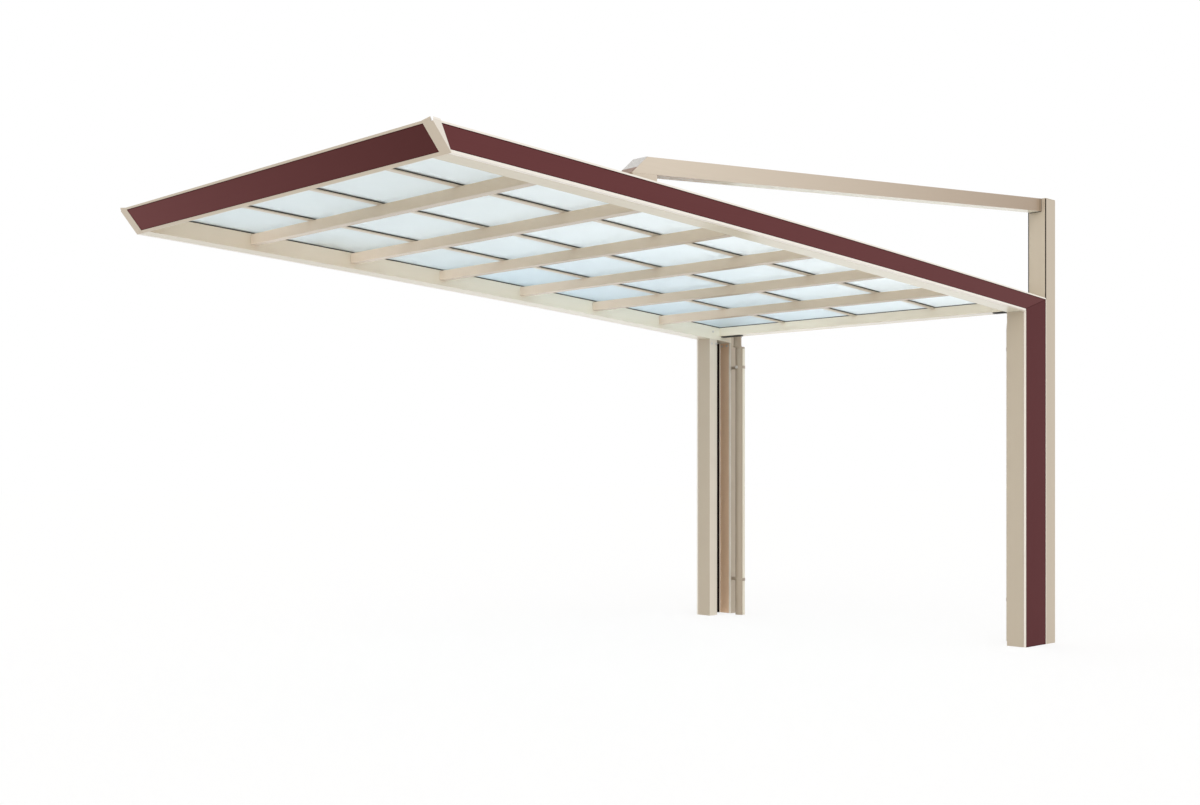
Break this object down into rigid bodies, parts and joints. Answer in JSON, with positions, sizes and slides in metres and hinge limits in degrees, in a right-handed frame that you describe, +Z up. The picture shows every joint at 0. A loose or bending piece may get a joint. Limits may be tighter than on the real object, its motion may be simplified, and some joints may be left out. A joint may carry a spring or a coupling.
{
  "type": "cantilever carport",
  "caption": "Open carport with a flat translucent roof cantilevered from posts at its rear end, stayed by sloping beams above, with wine-red bands on beige frames.",
  "frame": {"origin": "middle of the right-hand tall post's foot, on the ground", "axes": "+X to the right seen from the front, +Y to the rear where the posts stand, +Z up"},
  "size_m": [3, 5.4096, 3.082],
  "materials": {
    "beige_frame": "satin champagne beige",
    "cream_trim": "satin pale cream",
    "wine_panel": "satin wine red",
    "bracket": "satin grey beige",
    "roof_sheet": "frosted translucent sheet"
  },
  "bodies": {
    "root": {"front_post_r": "beige_frame", "front_post_l": "beige_frame", "tall_post_r": "beige_frame", "tall_post_l": "beige_frame", "tall_cap_r": "beige_frame", "tall_cap_l": "beige_frame", "post_frame_r": "cream_trim", "post_frame_l": "cream_trim", "post_panel_r": "wine_panel", "post_panel_l": "wine_panel", "side_beam_r": "beige_frame", "side_beam_l": "beige_frame", "side_frame_r": "cream_trim", "side_frame_l": "cream_trim", "side_panel_r": "wine_panel", "side_panel_l": "wine_panel", "corner_cover_r": "beige_frame", "corner_cover_l": "beige_frame", "hanging_beam_r": "beige_frame", "hanging_beam_l": "beige_frame", "saddle_r": "bracket", "saddle_l": "bracket", "downpipe_r": "bracket", "downpipe_l": "bracket", "pipe_clips_r": "bracket", "pipe_clips_l": "bracket", "front_beam": "beige_frame", "front_frame": "cream_trim", "front_panel": "wine_panel", "rear_beam": "beige_frame", "rafter_1": "beige_frame", "rafter_2": "beige_frame", "rafter_3": "beige_frame", "rafter_4": "beige_frame", "rafter_5": "beige_frame", "rafter_6": "beige_frame", "batten_1": "cream_trim", "batten_2": "cream_trim", "batten_3": "cream_trim", "sheet_1": "roof_sheet", "sheet_2": "roof_sheet", "sheet_3": "roof_sheet", "sheet_4": "roof_sheet"}
  },
  "joints": []
}
